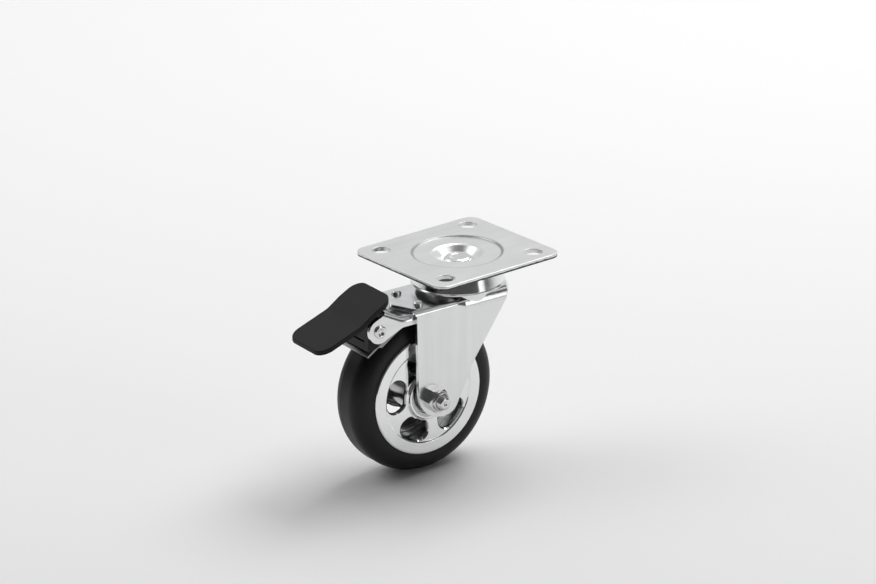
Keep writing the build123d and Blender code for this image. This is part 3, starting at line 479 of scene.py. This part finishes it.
fastener_finish = small_steel("plated_fastener", 0.82, 0.64, 0.10, 0.004 * MM)
pin_finish = small_steel("headed_pin", 0.84, 0.70, 0.12, 0.008 * MM)
bearing_finish = small_steel("ground_bearing", 0.58, 0.44, 0.16, 0.001 * MM)
ball_finish = small_steel("polished_ball", 0.74, 0.68, 0.04, 0.0)
print("small part finishes made")

# %% [markdown]
# ## Rubber
# The tyre is solid black rubber, still satin from its mould. Its grain is fine and even, and
# handling leaves a thin uneven bloom that is a little lighter and duller. Rings left by the
# turned mould run round the axle and fade in and out.

# %% Make the rubber
MOULD_RING_PITCH = 0.9 * MM


def tyre_rubber():
    """Black rubber with a bloom, mould grain and faint turned rings."""
    finish = Finish("tyre_rubber", {"Metallic": 0.0, "Specular IOR Level": 0.32})
    across, away = finish.off_axle()
    bloom = finish.cloud(16 * MM, finish.place(), 4.0)
    grain = finish.cloud(0.45 * MM, finish.place(), 3.0)
    rings = finish.maths("SINE", across * (math.tau / MOULD_RING_PITCH), 0.0)
    tint = finish.mixed(bloom, (0.004, 0.004, 0.0043, 1), (0.009, 0.009, 0.0094, 1))
    relief = finish.relief([(grain, 0.012 * MM), (rings * bloom, 0.003 * MM)])
    return finish.wear(Base_Color=tint, Roughness=0.34 + 0.20 * bloom, Normal=relief)


rubber_finish = tyre_rubber()
print("rubber finish:", rubber_finish.name)

# %% [markdown]
# ## Moulded nylon
# The pedal is glass-filled nylon from a spark-eroded mould. Its grain is coarser than the
# rubber's, and shoes have polished the top of that grain a little, so the roughness follows
# a slow noise while the fine one makes the relief.

# %% Make the nylon
def pedal_nylon():
    """Charcoal nylon with an eroded grain that is worn smoother in patches."""
    finish = Finish("pedal_nylon", {"Metallic": 0.0, "Specular IOR Level": 0.22})
    patches = finish.cloud(9 * MM, finish.place(), 4.0)
    grain = finish.cloud(0.55 * MM, finish.place(), 4.0)
    specks = finish.between(grain, 0.55, 0.75)
    tint = finish.mixed(0.6 * patches + 0.4 * specks, (0.005, 0.005, 0.0055, 1), (0.014, 0.014, 0.0145, 1))
    relief = finish.relief([(grain, 0.035 * MM)], 0.3 * MM)
    return finish.wear(Base_Color=tint, Roughness=0.40 + 0.18 * patches, Normal=relief)


def insert_nylon():
    """The pale ring in the lock nut, slightly mottled."""
    finish = Finish("insert_nylon", {"Metallic": 0.0})
    mottle = finish.cloud(1.2 * MM, finish.place(), 3.0)
    tint = finish.mixed(mottle, (0.42, 0.42, 0.40, 1), (0.60, 0.60, 0.57, 1))
    relief = finish.relief([(mottle, 0.02 * MM)])
    return finish.wear(Base_Color=tint, Roughness=0.35 + 0.15 * mottle, Normal=relief)


nylon_finish = pedal_nylon()
insert_finish = insert_nylon()
print("nylon finishes:", nylon_finish.name, insert_finish.name)

# %% [markdown]
# ## Dressing the frame
# The frame's own pieces already have their true shape, so they only need their finish. The
# dictionary names each finish once, with the pieces that wear it.

# %% Give every frame piece its finish
dressing = {
    plate_finish: ["top_plate"],
    drum_finish: ["race_housing"],
    fork_finish: ["fork"],
    bracket_finish: ["brake_bracket"],
    shoe_finish: ["brake_shoe"],
    rim_finish: ["rim_disc_near", "rim_disc_far"],
    fastener_finish: ["axle_bolt", "axle_nut", "axle_collars"],
    pin_finish: ["kingpin", "bracket_rivets", "pedal_pin"],
    bearing_finish: [
        "lower_race", "spacer_sleeve", "hub_tube", "bearing_shields",
        "bearing_inner_ring_near", "bearing_inner_ring_far",
        "bearing_outer_ring_near", "bearing_outer_ring_far",
    ],
    ball_finish: ["upper_balls", "lower_balls", "bearing_balls"],
    rubber_finish: ["tyre"],
    nylon_finish: ["pedal"],
}
for material, nodes in dressing.items():
    for node in nodes:
        for material_slot in frame["nodes"][node].material_slots:
            material_slot.material = material
dressed = [node for nodes in dressing.values() for node in nodes]
print("nodes without a finish:", sorted(set(frame["nodes"]) - set(dressed)))

# %% [markdown]
# ## Surfaces from a profile
# The added pieces are all turned or wound round a line: the axle, the swivel or the pedal's
# pin. A grid of radii and a grid of distances along the line describe each of them, where a
# row goes once round. Poles are closed by a fan, and a ring closes on itself. The sign of the
# enclosed volume says whether faces point outwards.

# %% Write the grid's helpers
AXLE = (AXLE_CENTRE, AXLE_ALONG, FORWARD, UP)
SWIVEL_LINE = (np.zeros(3), UP, np.array([1.0, 0.0, 0.0]), np.array([0.0, 1.0, 0.0]))


def round_a_line(line, radius, along):
    """Points centre + along * axis + radius * (cos(turn) * first + sin(turn) * second)."""
    centre, axis, first, second = line
    turn = np.arange(radius.shape[1]) * math.tau / radius.shape[1]
    spoke = np.cos(turn)[:, None] * first + np.sin(turn)[:, None] * second
    return centre + along[..., None] * axis + radius[..., None] * spoke


def grid_faces(rows, columns, ring):
    """Quads between neighbouring rows and columns; a ring also joins last row to first."""
    row = np.arange(rows if ring else rows - 1)[:, None]
    column = np.arange(columns)[None, :]
    next_row = (row + 1) % rows
    next_column = (column + 1) % columns
    quads = np.stack([
        row * columns + column, row * columns + next_column,
        next_row * columns + next_column, next_row * columns + column,
    ], axis=-1)
    return quads.reshape(-1, 4)


def enclosed(points, faces):
    """Signed volume: the sum over triangles of a . (b x c) / 6."""
    first, second, third, last = [points[faces[:, corner]] for corner in range(4)]
    halves = np.einsum("ij,ij->i", first, np.cross(second, third))
    halves += np.einsum("ij,ij->i", first, np.cross(third, last))
    return halves.sum() / 6


def end_fan(points, row, columns, turned_over):
    """Triangles from one end row to a new point in its middle."""
    column = row * columns + np.arange(columns)
    following = row * columns + (np.arange(columns) + 1) % columns
    fan = np.stack([column, following, np.full(columns, len(points))], axis=-1)
    middle = points[column].mean(axis=0)
    return middle, fan[:, ::-1] if turned_over else fan


print("a ring of 3 rows and 4 columns has faces:", len(grid_faces(3, 4, True)))

# %% [markdown]
# ## From a grid to a piece
# Two helpers make the mesh, give it its finish and let it ride on its body: one for any grid,
# and one for a plain turned part, which only needs the corners of its section. A third
# rounds those corners, since no turned or hammered part has a truly sharp one.

# %% Write the piece helpers
SIDE_PARTS = 2.2


def wound_piece(name, line, radius, along, ring, body, material):
    """A closed surface of rows round a line, riding on a body."""
    rows, columns = radius.shape
    points = round_a_line(line, radius, along).reshape(-1, 3)
    faces = grid_faces(rows, columns, ring)
    inward = enclosed(points - line[0], faces) < 0
    polygons = (faces[:, ::-1] if inward else faces).tolist()
    if not ring:
        for row in (0, rows - 1):
            middle, fan = end_fan(points, row, columns, (row == 0) != inward)
            points = np.vstack([points, middle])
            polygons += fan.tolist()
    mesh = bpy.data.meshes.new(name)
    mesh.from_pydata(points.tolist(), [], polygons)
    mesh.polygons.foreach_set("use_smooth", np.ones(len(polygons), dtype=bool))
    mesh.materials.append(material)
    piece = bpy.data.objects.new(name, mesh)
    bpy.context.collection.objects.link(piece)
    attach(piece, body)
    print(name, "faces:", len(polygons))
    return piece


def turned_piece(name, line, profile, columns, body, material):
    """A turned solid: the profile's (radius, distance) corners are carried round a line."""
    away, along = np.array(profile).T
    everywhere = np.ones(columns)
    return wound_piece(
        name, line, away[:, None] * everywhere, along[:, None] * everywhere,
        False, body, material,
    )


def rounded(profile, reach, steps=5):
    """Replaces each inner corner of a profile by an arc-like curve that starts reach away.

    Each curve is quadratic: (1-t)^2 a + 2(1-t)t corner + t^2 b, with a and b on the sides.
    A short side gives at most its length over SIDE_PARTS, so that two curves never meet.
    """
    corners = np.array(profile)
    sides = np.diff(corners, axis=0)
    lengths = np.linalg.norm(sides, axis=1)
    near = np.minimum(reach, lengths / SIDE_PARTS) / lengths
    before = corners[1:-1] - sides[:-1] * near[:-1, None]
    after = corners[1:-1] + sides[1:] * near[1:, None]
    t = np.linspace(0, 1, steps)[None, :, None]
    curve = (1 - t) ** 2 * before[:, None] + t ** 2 * after[:, None]
    curve += 2 * (1 - t) * t * corners[1:-1, None]
    return np.vstack([corners[:1], curve.reshape(-1, 2), corners[-1:]])


print("points of a rounded corner:", len(rounded([(0, 0), (1, 0), (1, 1)], 0.1)) - 2)

# %% [markdown]
# ## The tyre
# The real tyre is moulded in two halves, and the line where they met is a hair-thin ridge
# round the tread, near one shoulder. A modelled surface can carry that ridge in its shape,
# which a bump would lose at the outline. The profile is a flat tread, two round shoulders
# and two short sidewalls; the ridge is a narrow bell curve added to the tread's radius.

# %% Build the tyre
TREAD_ROUND = 9.7 * MM
TREAD_COLUMNS = 288
RIDGE_HEIGHT = 0.11 * MM
RIDGE_HALF_WIDTH = 0.22 * MM
RIDGE_PLACE = 4.2 * MM
TREAD_ROWS = 90
SHOULDER_ROWS = 24
WALL_ROWS = 6
LIP_OVER_RIM = 1.0 * MM
SIDE_OVER_RIM = 1.5 * MM
BEAD_STEP = 0.8 * MM
BEAD_EDGE = 0.1 * MM


def widest_outside(node, low_radius):
    """Half the width of a node outside a given radius."""
    along, away = axle_measures(node)
    return np.abs(along[away > low_radius]).max()


def tyre_profile(side):
    """Radius and place of the tyre's outline, from one bead over the tread to the other.

    Sides stand at plus and minus side. Shoulders are quarter circles of the tread's round,
    and the ridge is its height times exp(-(distance from its place / half width)^2).
    """
    low = along_axle("tyre")[0]
    inner, outer = round_axle("tyre")
    crown = outer - RIDGE_HEIGHT
    flat = side - TREAD_ROUND
    lip = round_axle("rim_disc_near")[1] + LIP_OVER_RIM
    arc = np.linspace(0, math.pi / 2, SHOULDER_ROWS)
    shoulder_away = crown - TREAD_ROUND + TREAD_ROUND * np.sin(arc)
    shoulder_along = -flat - TREAD_ROUND * np.cos(arc)
    tread = np.linspace(-flat, flat, TREAD_ROWS)[1:-1]
    ridge = RIDGE_HEIGHT * np.exp(-((tread - RIDGE_PLACE) / RIDGE_HALF_WIDTH) ** 2)
    wall = np.linspace(lip, crown - TREAD_ROUND, WALL_ROWS)[:-1]
    bead_away = [inner, inner, lip - BEAD_STEP, lip - BEAD_EDGE]
    bead_along = [0.0, low, low, -side + BEAD_EDGE]
    left_away = np.concatenate([bead_away, wall, shoulder_away])
    left_along = np.concatenate([bead_along, np.full(len(wall), -side), shoulder_along])
    away = np.concatenate([left_away, crown + ridge, left_away[::-1][:-1]])
    across = np.concatenate([left_along, tread, -left_along[::-1][:-1]])
    return away, across


rim_radius = round_axle("rim_disc_near")[1]
tyre_away, tyre_across = tyre_profile(widest_outside("tyre", rim_radius + SIDE_OVER_RIM))
tyre_piece = wound_piece(
    "tyre_moulded", AXLE,
    np.repeat(tyre_away[:, None], TREAD_COLUMNS, axis=1),
    np.repeat(tyre_across[:, None], TREAD_COLUMNS, axis=1),
    True, "wheel", rubber_finish,
)
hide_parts("tyre")

# %% [markdown]
# ## The axle bolt
# The frame's bolt has a plain end, and the real one shows its rolled thread past the nut. A
# thread is a spiral, so the radius depends on the distance along the bolt and on the turn
# together: it dips once for each pitch, and one turn moves the dip on by one pitch. Making
# the whole bolt as one surface keeps the thread, the shank and the hexagon head in one skin.

# %% Shape the thread and the head
BOLT_COLUMNS = 96
BOLT_RADIUS = 4.0 * MM
THREAD_PITCH = 1.25 * MM
THREAD_DEPTH = 0.62 * MM
THREAD_SHARPNESS = 1.4
THREAD_RUN_OUT = 1.2 * MM
THREAD_PAST_LEG = 1.0 * MM
ROWS_PER_PITCH = 10
END_CHAMFER = 0.9 * MM
END_DIMPLE_RADII = np.array([0.5, 1.2, 1.35]) * MM
END_DIMPLE_DEPTHS = np.array([0.8, 0.1, 0.0]) * MM
HEX_ACROSS_FLATS = 13.0 * MM
CROWN_FALL = 1.7 * MM
CROWN_ROWS = 14
CROWN_OVER_POINT = 1.0 * MM
CROWN_UNDER_FLAT = 0.2 * MM


def hexagon_radius(turn):
    """Distance from a hexagon's middle to its side: half the flats over a cosine."""
    sixth = math.pi / 3
    return HEX_ACROSS_FLATS / 2 / np.cos(turn % sixth - sixth / 2)


def thread_rows(end, start, turn):
    """The threaded length: the radius dips by (0.5 - 0.5 cos(phase))^sharpness.

    The phase counts pitches along the bolt plus turns round it, so that the dip winds. A
    cone at the end cuts the outer radius down to the chamfer.
    """
    rows = np.arange(end, start, THREAD_PITCH / ROWS_PER_PITCH)[:, None]
    phase = rows / THREAD_PITCH + turn[None, :] / math.tau
    dip = 0.5 - 0.5 * np.cos(math.tau * phase)
    run_out = np.clip((start - rows) / THREAD_RUN_OUT, 0, 1)
    thread = BOLT_RADIUS - THREAD_DEPTH * dip ** THREAD_SHARPNESS * run_out
    return np.minimum(thread, BOLT_RADIUS - END_CHAMFER + rows - end), rows


def head_rows(seat, face, turn):
    """The head: a hexagon, cut by a cone that falls toward the outer face."""
    height = face - seat
    rise = np.concatenate([[0.0], np.linspace(height - CROWN_FALL, height, CROWN_ROWS)])[:, None]
    cone_start = HEX_ACROSS_FLATS / 2 / math.cos(math.pi / 6) + CROWN_OVER_POINT
    cone_end = HEX_ACROSS_FLATS / 2 - CROWN_UNDER_FLAT
    cone = cone_end + (height - rise) * (cone_start - cone_end) / CROWN_FALL
    return np.minimum(hexagon_radius(turn)[None, :], cone), seat + rise


print("thread pitch in mm:", round(THREAD_PITCH / MM, 2))

# %% [markdown]
# ## The bolt from end to end
# Four runs of rows make the skin: a small dimple in the threaded end, the thread, the plain
# shank through both legs, and the head. They share one number of columns, so they join.

# %% Build the axle bolt
def bolt_surface():
    """Radius and distance of the rows from the threaded end to the head's outer face."""
    end, face = along_axle("axle_bolt")
    leg_outside, seat = along_axle("fork")
    thread_start = leg_outside + THREAD_PAST_LEG
    turn = np.arange(BOLT_COLUMNS) * math.tau / BOLT_COLUMNS
    parts = [
        (END_DIMPLE_RADII[:, None], end + END_DIMPLE_DEPTHS[:, None]),
        thread_rows(end, thread_start, turn),
        (np.full((2, 1), BOLT_RADIUS), np.array([[thread_start], [seat]])),
        head_rows(seat, face, turn),
    ]
    everywhere = np.ones(BOLT_COLUMNS)
    away = np.concatenate([radius * everywhere for radius, along in parts])
    along = np.concatenate([along * everywhere for radius, along in parts])
    return away, along


bolt_away, bolt_along = bolt_surface()
bolt_piece = wound_piece(
    "axle_bolt_threaded", AXLE, bolt_away, bolt_along, False,
    "swivel_fork", fastener_finish,
)
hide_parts("axle_bolt")

# %% [markdown]
# ## The lock nut's insert
# A lock nut grips by a nylon ring held in its collar. Only a narrow rounded band of it shows
# round the bolt. It is a ring with a flattened round section: the section is an ellipse, and
# carrying it once round the axle closes it in both directions.

# %% Build the nut's insert
INSERT_MIDDLE = 4.55 * MM
INSERT_HALF_WIDTH = 0.5 * MM
INSERT_HALF_HEIGHT = 0.28 * MM
INSERT_ROWS = 16
section = np.linspace(0, math.tau, INSERT_ROWS, endpoint=False)[:, None] + np.zeros(BOLT_COLUMNS)
nut_end = along_axle("axle_nut")[0]
wound_piece(
    "nut_insert", AXLE,
    INSERT_MIDDLE + INSERT_HALF_WIDTH * np.cos(section),
    nut_end + INSERT_HALF_HEIGHT * np.sin(section),
    True, "swivel_fork", insert_finish,
)

# %% [markdown]
# ## The kingpin's peened head
# The kingpin holds the swivel together. Its top is hammered down into the bowl of the plate
# and ends as a thick round button with a shallow pressed middle. It is a turned form: a few
# corners give its section, each corner is rounded, and the section goes round the swivel.

# %% Build the kingpin
TURNED_HOLE = 0.3 * MM
KINGPIN_COLUMNS = 96
KINGPIN_ROUND = 0.9 * MM
KINGPIN_HEAD_RADIUS = 8.9 * MM
KINGPIN_HEAD_RISE = 2.7 * MM
KINGPIN_HEAD_SHOULDER = 0.55
KINGPIN_HEAD_SLOPE = 1.8 * MM
KINGPIN_HEAD_SINK = 1.0 * MM
KINGPIN_FRAME_HEAD = 1.5 * MM
KINGPIN_SHANK_RADIUS = 6.0 * MM
KINGPIN_FOOT_RADIUS = 8.7 * MM
KINGPIN_FOOT_HEIGHT = 3.0 * MM
PRESSED_RIM = 4.6 * MM
PRESSED_RADIUS = 3.8 * MM
PRESSED_DEPTH = 0.45 * MM
PRESSED_MIDDLE = 0.5 * MM
foot_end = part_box("kingpin")[0].z
foot_top = foot_end + KINGPIN_FOOT_HEIGHT
bowl_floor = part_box("kingpin")[1].z - KINGPIN_FRAME_HEAD
head_under = bowl_floor - KINGPIN_HEAD_SINK
head_top = bowl_floor + KINGPIN_HEAD_RISE
kingpin_profile = [
    (TURNED_HOLE, foot_end),
    (KINGPIN_FOOT_RADIUS, foot_end),
    (KINGPIN_FOOT_RADIUS, foot_top),
    (KINGPIN_SHANK_RADIUS, foot_top),
    (KINGPIN_SHANK_RADIUS, head_under),
    (KINGPIN_HEAD_RADIUS, head_under),
    (KINGPIN_HEAD_RADIUS, bowl_floor + KINGPIN_HEAD_SHOULDER * KINGPIN_HEAD_RISE),
    (KINGPIN_HEAD_RADIUS - KINGPIN_HEAD_SLOPE, head_top),
    (PRESSED_RIM, head_top),
    (PRESSED_RADIUS, head_top - PRESSED_DEPTH),
    (TURNED_HOLE, head_top - PRESSED_MIDDLE),
]
kingpin_piece = turned_piece(
    "kingpin_peened", SWIVEL_LINE, rounded(kingpin_profile, KINGPIN_ROUND), KINGPIN_COLUMNS,
    "plate", pin_finish,
)
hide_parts("kingpin")

# %% [markdown]
# ## The pedal's pin
# The pin is a rivet with drilled ends. Rolling such an end over the ear leaves a rounded
# ring with a deep dimple. The same turned form makes both ends, and its section is
# worked out for one end and then laid out in reverse for the other.

# %% Build the pedal's pin
PIN_HEAD_RADIUS = 3.9 * MM
PIN_HEAD_HEIGHT = 1.5 * MM
PIN_SHANK_RADIUS = 2.5 * MM
PIN_DIMPLE_RADIUS = 1.9 * MM
PIN_DIMPLE_DEPTH = 1.3 * MM
PIN_DIMPLE_EDGE = 0.4 * MM
PIN_DIMPLE_FLOOR = 0.6
PIN_MIDDLE_HOLE = 0.2 * MM
PIN_HEAD_FALL = 0.5 * MM
PIN_ROUND = 0.7 * MM
PIN_COLUMNS = 64
PIN_LINE = (np.array(joint_called("pedal_press")["pos_m"]), AXLE_ALONG, FORWARD, UP)
pin_end = np.abs((corners_of("pedal_pin") - PIN_LINE[0]) @ AXLE_ALONG).max()
pin_half = [
    (PIN_MIDDLE_HOLE, -pin_end + PIN_DIMPLE_DEPTH),
    (PIN_DIMPLE_FLOOR * PIN_DIMPLE_RADIUS, -pin_end + PIN_DIMPLE_DEPTH),
    (PIN_DIMPLE_RADIUS, -pin_end + PIN_DIMPLE_EDGE),
    ((PIN_DIMPLE_RADIUS + PIN_HEAD_RADIUS) / 2, -pin_end),
    (PIN_HEAD_RADIUS, -pin_end + PIN_HEAD_FALL),
    (PIN_HEAD_RADIUS, -pin_end + PIN_HEAD_HEIGHT),
    (PIN_SHANK_RADIUS, -pin_end + PIN_HEAD_HEIGHT),
]
pin_profile = pin_half + [(away, -along) for away, along in reversed(pin_half)]
pin_piece = turned_piece(
    "pedal_pin_rolled", PIN_LINE, rounded(pin_profile, PIN_ROUND), PIN_COLUMNS,
    "swivel_fork", pin_finish,
)
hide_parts("pedal_pin")

# %% [markdown]
# ## The studio
# Bright metal shows its surroundings more than itself, so the studio is the real finish.
# A pale floor lights the legs and the wheel from below. A soft box high on the right is the
# main light, a weaker one behind on the left puts the white patch into the plate's bowl, and
# a strip in front draws the white line on the drum. The side behind the camera is dark, held
# back by a dark flag shaped like a piece of a dome. Without it every bend reflects the same
# pale wall and the metal looks like grey paint. The camera doesn't see the flag itself.

# %% Build the floor
FLOOR_HALF = 20.0
FLOOR_COLOUR = (0.91, 0.91, 0.91, 1.0)
WORLD_COLOUR = (0.71, 0.71, 0.71, 1.0)
floor_height = frame_box[0].z


def stage_piece(name, points, faces, colour):
    """A plain matt piece of the studio."""
    finish = Finish(name, {"Base Color": colour, "Roughness": 0.9, "Specular IOR Level": 0.1})
    mesh = bpy.data.meshes.new(name)
    mesh.from_pydata(points.tolist(), [], faces.tolist())
    mesh.materials.append(finish.material)
    piece = bpy.data.objects.new(name, mesh)
    bpy.context.collection.objects.link(piece)
    return piece


square = np.array([[-1, -1, 0], [1, -1, 0], [1, 1, 0], [-1, 1, 0]], dtype=float)
floor_points = square * FLOOR_HALF + floor_height * UP
stage_piece("floor", floor_points, np.array([[0, 1, 2, 3]]), FLOOR_COLOUR)
print("floor height in mm:", round(floor_height / MM, 2))

# %% Hang the dark flag
FLAG_DISTANCE = 2.8
FLAG_LIFT = 0.02
FLAG_STOPS = np.radians([-170, -116, -106, 19, 25, 85])
FLAG_TOPS = np.radians([25, 25, 80, 80, 55, 55])
FLAG_COLOUR = (0.12, 0.12, 0.12, 1.0)
FLAG_COLUMNS = 90
FLAG_ROWS = 16


def flag_points():
    """A piece of a dome: distance * (cos(el) sin(az), -cos(el) cos(az), sin(el)).

    Its azimuth runs over the stops, and at each the elevation runs up to that stop's top.
    """
    azimuth = np.linspace(FLAG_STOPS[0], FLAG_STOPS[-1], FLAG_COLUMNS)[None, :]
    elevation = np.linspace(0, 1, FLAG_ROWS)[:, None] * np.interp(azimuth, FLAG_STOPS, FLAG_TOPS)
    outward = np.stack([
        np.cos(elevation) * np.sin(azimuth), -np.cos(elevation) * np.cos(azimuth), np.sin(elevation),
    ], axis=-1)
    return (FLAG_DISTANCE * outward + (floor_height + FLAG_LIFT) * UP).reshape(-1, 3)


flag_quads = grid_faces(FLAG_ROWS, FLAG_COLUMNS, False).reshape(FLAG_ROWS - 1, FLAG_COLUMNS, 4)
flag = stage_piece("flag", flag_points(), flag_quads[:, :-1].reshape(-1, 4), FLAG_COLOUR)
flag.visible_camera = False
print("flag faces:", len(flag.data.polygons))

# %% Light the studio
HIGH_RADIANCE = 4.2
BACK_RADIANCE = 1.5
STRIP_RADIANCE = 2.2
LAMP_AIM = Vector((0, 0, -0.06))


def soft_box(name, distance, azimuth, elevation, width, height, radiance):
    """An area lamp of a given radiance: its power is radiance * pi * area.

    It stands at a distance in the direction of an azimuth and an elevation, in degrees.
    """
    turn, rise = math.radians(azimuth), math.radians(elevation)
    lamp = bpy.data.lights.new(name, "AREA")
    lamp.shape = "RECTANGLE"
    lamp.size = width
    lamp.size_y = height
    lamp.energy = radiance * math.pi * width * height
    holder = bpy.data.objects.new(name, lamp)
    holder.location = distance * Vector((
        math.cos(rise) * math.sin(turn), -math.cos(rise) * math.cos(turn), math.sin(rise),
    ))
    holder.rotation_euler = (LAMP_AIM - holder.location).to_track_quat("-Z", "Y").to_euler()
    bpy.context.collection.objects.link(holder)


soft_box("high_box", 2.4, 98, 57, 1.6, 1.6, HIGH_RADIANCE)
soft_box("back_box", 2.6, -142, 42, 1.5, 1.5, BACK_RADIANCE)
soft_box("strip", 2.5, 22, 12, 0.7, 1.0, STRIP_RADIANCE)

world = bpy.data.worlds.new("world")
world.use_nodes = True
world.node_tree.nodes["Background"].inputs["Color"].default_value = WORLD_COLOUR
bpy.context.scene.world = world
print("lamps:", len(bpy.data.lights))
